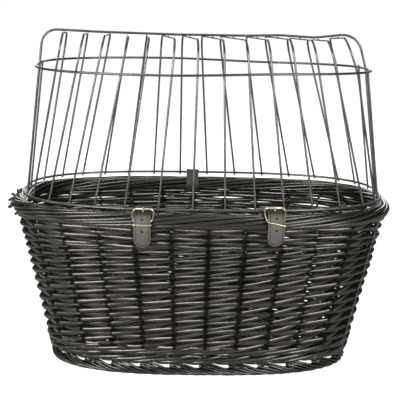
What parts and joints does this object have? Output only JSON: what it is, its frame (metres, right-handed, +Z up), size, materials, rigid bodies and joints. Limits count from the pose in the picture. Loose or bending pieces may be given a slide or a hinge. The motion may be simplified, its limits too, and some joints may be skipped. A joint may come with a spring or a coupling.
{
  "type": "pet bicycle basket",
  "caption": "Oval wicker pet basket for a bicycle carrier, with a hinged wire grille lid and two buckled leather straps.",
  "frame": {"origin": "on the floor, under the middle of the space the basket takes up", "axes": "+X along the basket to the right seen from the strapped front, +Y to the hinged back, +Z up"},
  "size_m": [0.5484, 0.3628, 0.4747],
  "materials": {
    "wicker": "stained dark, semi-gloss varnish",
    "wire": "dark grey, semi-gloss",
    "strap_leather": "smooth, satin",
    "hinge_leather": "smooth, satin",
    "brass": "pale, polished"
  },
  "bodies": {
    "basket": {"foot_border": "wicker", "bottom_wale": "wicker", "wall_weave": "wicker", "top_wale": "wicker", "rim_border": "wicker", "base_mat": "wicker", "base_stick_1": "wicker", "base_stick_2": "wicker", "base_stick_3": "wicker", "base_stick_4": "wicker", "base_stick_5": "wicker", "base_stick_6": "wicker", "base_stick_7": "wicker", "base_stick_8": "wicker", "base_stick_9": "wicker", "hinge_loop": "hinge_leather", "left_buckle_tab": "strap_leather", "left_tab_rivet": "brass", "right_buckle_tab": "strap_leather", "right_tab_rivet": "brass"},
    "lid": {"lower_hoop": "wire", "upper_hoop": "wire", "ridge_wire": "wire", "cross_arch_1": "wire", "cross_arch_2": "wire", "cross_arch_3": "wire", "cross_arch_4": "wire", "cross_arch_5": "wire", "cross_arch_6": "wire", "cross_arch_7": "wire", "cross_arch_8": "wire", "cross_arch_9": "wire", "cross_arch_10": "wire", "cross_arch_11": "wire", "cross_arch_12": "wire", "cross_arch_13": "wire", "cross_arch_14": "wire", "left_front_wire": "wire", "left_back_wire": "wire", "right_front_wire": "wire", "right_back_wire": "wire", "left_strap": "strap_leather", "right_strap": "strap_leather"},
    "left_buckle": {"left_buckle_frame": "brass"},
    "left_prong_body": {"left_prong": "brass"},
    "left_keeper_body": {"left_keeper": "brass"},
    "right_buckle": {"right_buckle_frame": "brass"},
    "right_prong_body": {"right_prong": "brass"},
    "right_keeper_body": {"right_keeper": "brass"}
  },
  "joints": [
    {"name": "lid_hinge", "type": "hinge", "parent": "basket", "child": "lid", "pos_m": [0, 0.16547, 0.24437], "axis": [-1, 0, 0], "range_deg": [0, 120], "deforming": ["left_strap", "right_strap"]},
    {"name": "left_buckle_swing", "type": "hinge", "parent": "basket", "child": "left_buckle", "pos_m": [-0.08293, -0.17272, 0.228], "axis": [0.996, -0.0895, 0], "range_deg": [0, 30], "deforming": ["left_strap"]},
    {"name": "left_prong_lift", "type": "hinge", "parent": "left_buckle", "child": "left_prong_body", "pos_m": [-0.08293, -0.17272, 0.228], "axis": [0.996, -0.0895, 0], "range_deg": [0, 35], "deforming": ["left_strap"]},
    {"name": "left_keeper_slide", "type": "slide", "parent": "basket", "child": "left_keeper_body", "axis": [0, 0, -1], "range_m": [0, 0.004], "deforming": ["left_strap"]},
    {"name": "right_buckle_swing", "type": "hinge", "parent": "basket", "child": "right_buckle", "pos_m": [0.09639, -0.17132, 0.2315], "axis": [0.993, 0.118, 0], "range_deg": [0, 30], "deforming": ["right_strap"]},
    {"name": "right_prong_lift", "type": "hinge", "parent": "right_buckle", "child": "right_prong_body", "pos_m": [0.09639, -0.17132, 0.2315], "axis": [0.993, 0.118, 0], "range_deg": [0, 35], "deforming": ["right_strap"]},
    {"name": "right_keeper_slide", "type": "slide", "parent": "basket", "child": "right_keeper_body", "axis": [0, 0, -1], "range_m": [0, 0.004], "deforming": ["right_strap"]}
  ]
}
